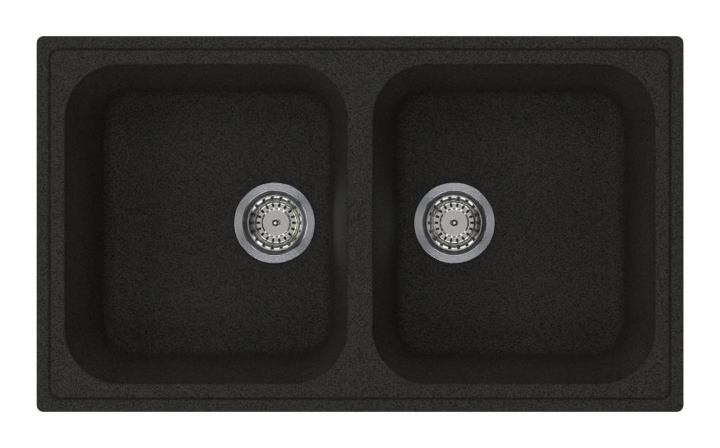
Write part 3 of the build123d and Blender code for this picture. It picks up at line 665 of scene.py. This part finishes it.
class SINK_OT_seal(bpy.types.Operator):
    """Lays the foam seal in the groove under the rim"""

    bl_idname = "sink.seal"
    bl_label = "Foam seal"

    def cut_across(self, low, high, spacing):
        """Cuts the selected strip across every so often, along both of its directions."""
        for direction, normal in ((0, (1, 0, 0)), (1, (0, 1, 0))):
            steps = int((high[direction] - low[direction]) / spacing)
            for i in range(1, steps):
                place = [0.0, 0.0, 0.0]
                place[direction] = high[direction] * (2 * i / steps - 1)
                bpy.ops.mesh.select_all(action="SELECT")
                bpy.ops.mesh.bisect(plane_co=place, plane_no=normal)

    def model(self, chosen):
        low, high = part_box("worktop_seal")
        bpy.ops.object.select_all(action="DESELECT")
        bpy.ops.mesh.primitive_plane_add(size=1.0, location=(0.0, 0.0, low.z))
        seal = bpy.context.object
        seal.name = "foam_seal"
        seal.scale = (high.x - low.x, high.y - low.y, 1.0)
        bpy.ops.object.transform_apply(location=True, rotation=True, scale=True)

        bpy.ops.object.mode_set(mode="EDIT")
        bpy.ops.mesh.select_all(action="SELECT")
        bpy.ops.mesh.bevel(offset=chosen.seal_corner, affect="VERTICES", segments=6, profile=0.5)
        bpy.ops.mesh.select_all(action="SELECT")
        bpy.ops.mesh.inset(thickness=chosen.seal_width, depth=0.0)
        bpy.ops.mesh.delete(type="FACE")
        self.cut_across(low, high, 15 * MM)
        bpy.ops.mesh.select_all(action="SELECT")
        height = (0.0, 0.0, high.z - low.z)
        bpy.ops.mesh.extrude_region_move(TRANSFORM_OT_translate={"value": height})
        bpy.ops.mesh.select_all(action="SELECT")
        bpy.ops.mesh.normals_make_consistent(inside=False)
        bpy.ops.object.mode_set(mode="OBJECT")

        edges = seal.modifiers.new("rounded_edges", "BEVEL")
        edges.width = 0.6 * MM
        edges.segments = 3
        edges.limit_method = "ANGLE"
        edges.angle_limit = math.radians(60)
        bpy.ops.object.modifier_apply(modifier=edges.name)
        bpy.ops.object.mode_set(mode="EDIT")
        bpy.ops.mesh.select_all(action="SELECT")
        bpy.ops.transform.vertex_random(offset=0.06 * MM, uniform=1.0, seed=7)
        bpy.ops.object.mode_set(mode="OBJECT")
        bpy.ops.object.shade_smooth_by_angle(angle=math.radians(50))
        return seal

    def execute(self, context):
        chosen = context.scene.sink_finish
        seal = self.model(chosen)
        f = Finish("seal_foam", Roughness=0.9)
        pores = f.add("ShaderNodeTexVoronoi", {"Vector": f.place, "Scale": 1400.0})
        broad = f.noise(f.place, 120.0, 3.0)
        open_pores = f.between(pores.outputs["Distance"], 0.1, 0.6)
        mottle = f.math("MULTIPLY_ADD", broad, 0.4, f.math("MULTIPLY", open_pores, 0.6))
        f.shades(mottle, 0.6, 1.4, chosen.foam)
        f.set("Roughness", f.between(open_pores, 0.0, 1.0, 0.95, 0.80))
        f.bump(open_pores, 0.2 * MM)
        seal.data.materials.append(f.material)
        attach(seal, "sink")
        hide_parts("worktop_seal")
        return {"FINISHED"}


# ---------------------------------------------------------------------------
# Stage
# ---------------------------------------------------------------------------


def area_light(name, place, size, power, towards):
    """A soft white rectangular light, turned to a point, that the camera doesn't see."""
    light = bpy.data.lights.new(name, "AREA")
    light.shape = "RECTANGLE"
    light.size, light.size_y = size
    light.energy = power
    lamp = bpy.data.objects.new(name, light)
    bpy.context.scene.collection.objects.link(lamp)
    lamp.location = place
    lamp.rotation_mode = "QUATERNION"
    lamp.rotation_quaternion = (Vector(towards) - Vector(place)).to_track_quat("-Z", "Y")
    lamp.visible_camera = False


class SINK_OT_stage(bpy.types.Operator):
    """Sets up the floor, the lights and the camera above the sink"""

    bl_idname = "sink.stage"
    bl_label = "Stage"

    def execute(self, context):
        scene = context.scene
        chosen = scene.sink_stage
        # So wide that its end isn't seen in a low view
        floor_span = 80.0
        bpy.ops.object.select_all(action="DESELECT")
        bpy.ops.mesh.primitive_plane_add(size=floor_span, location=(0.0, 0.0, cad_low.z))
        floor = context.object
        floor.name = "floor"
        f = Finish("pale_floor", Roughness=0.8)
        cloud = f.noise(f.place, 2.0)
        f.shades(cloud, 0.99, 1.01, chosen.floor)
        f.set("Emission Color", WHITE)
        # White to the camera, with less light than that thrown on the sink
        thrown, shown = 0.10, 0.80
        seen = f.add("ShaderNodeLightPath").outputs["Is Camera Ray"]
        f.set("Emission Strength", f.between(seen, 0.0, 1.0, thrown, shown))
        floor.data.materials.append(f.material)

        self.lights(chosen)
        self.room(scene, chosen)
        self.camera(scene, chosen)
        return {"FINISHED"}

    def lights(self, chosen):
        middle = (0.0, 0.0, 0.0)
        for label, y in (("strip_front", -1.05), ("strip_back", 1.05)):
            area_light(label, (0.0, y, 2.3), (2.2, 0.65), chosen.strip_power, middle)
        for label, place, share in (
            ("side_left", (-1.8, 0.0, 2.2), 1.22), ("side_right", (1.8, 0.0, 2.2), 0.51),
            ("low_left", (-2.2, 0.0, 1.0), 1.07), ("low_right", (2.2, 0.0, 1.0), 0.56),
            ("low_front", (0.0, -2.2, 1.0), 1.32), ("low_back", (0.0, 2.2, 1.0), 1.47),
        ):
            area_light(label, place, (1.9, 0.8), chosen.side_power * share, middle)
        for label, x, length, share in (("key", 0.1, 2.0, 1.0), ("key_right", 0.5, 0.8, 0.33)):
            place, target = (x, -0.05, 3.4), (x, -0.05, 0.0)
            area_light(label, place, (length, 0.45), chosen.key_power * share, target)

    def room(self, scene, chosen):
        world = bpy.data.worlds.new("studio")
        scene.world = world
        world.use_nodes = True
        background = world.node_tree.nodes["Background"]
        background.inputs["Color"].default_value = WHITE
        background.inputs["Strength"].default_value = chosen.room_light
        scene.view_settings.view_transform = "Standard"

    def camera(self, scene, chosen):
        """Looks straight down; the shift puts the sink's middle in the picture's middle."""
        lens = bpy.data.cameras.new("camera")
        camera = bpy.data.objects.new("camera", lens)
        scene.collection.objects.link(camera)
        camera.location = (chosen.camera_x, chosen.camera_y, cad_high.z + chosen.camera_height)
        lens.sensor_width = 36.0
        lens.lens = lens.sensor_width * chosen.camera_height / chosen.picture_width
        lens.shift_x = -chosen.camera_x / chosen.picture_width
        lens.shift_y = -chosen.camera_y / chosen.picture_width
        lens.clip_start = 0.1
        lens.clip_end = 100.0
        scene.camera = camera


class SINK_PT_panel(bpy.types.Panel):
    """Lists the sink's settings and pieces in the sidebar"""

    bl_idname = "SINK_PT_panel"
    bl_label = "Double bowl sink"
    bl_space_type = "VIEW_3D"
    bl_region_type = "UI"
    bl_category = "Sink"

    def draw(self, context):
        for settings in (context.scene.sink_finish, context.scene.sink_stage):
            box = self.layout.box()
            for name in settings.__annotations__:
                box.prop(settings, name)
        for piece in PIECES:
            self.layout.operator(piece.bl_idname)


PIECES = (
    SINK_OT_basin, SINK_OT_strainers, SINK_OT_wastes, SINK_OT_overflow,
    SINK_OT_fixings, SINK_OT_seal, SINK_OT_stage,
)
CLASSES = (SinkFinish, SinkStage, *PIECES, SINK_PT_panel)


def register():
    for kind in CLASSES:
        bpy.utils.register_class(kind)
    bpy.types.Scene.sink_finish = PointerProperty(type=SinkFinish)
    bpy.types.Scene.sink_stage = PointerProperty(type=SinkStage)


def unregister():
    del bpy.types.Scene.sink_stage
    del bpy.types.Scene.sink_finish
    for kind in reversed(CLASSES):
        bpy.utils.unregister_class(kind)


def main():
    register()
    bpy.ops.sink.basin()
    bpy.ops.sink.strainers()
    bpy.ops.sink.wastes()
    bpy.ops.sink.overflow()
    bpy.ops.sink.fixings()
    bpy.ops.sink.seal()
    bpy.ops.sink.stage()


if __name__ == "__main__":
    main()
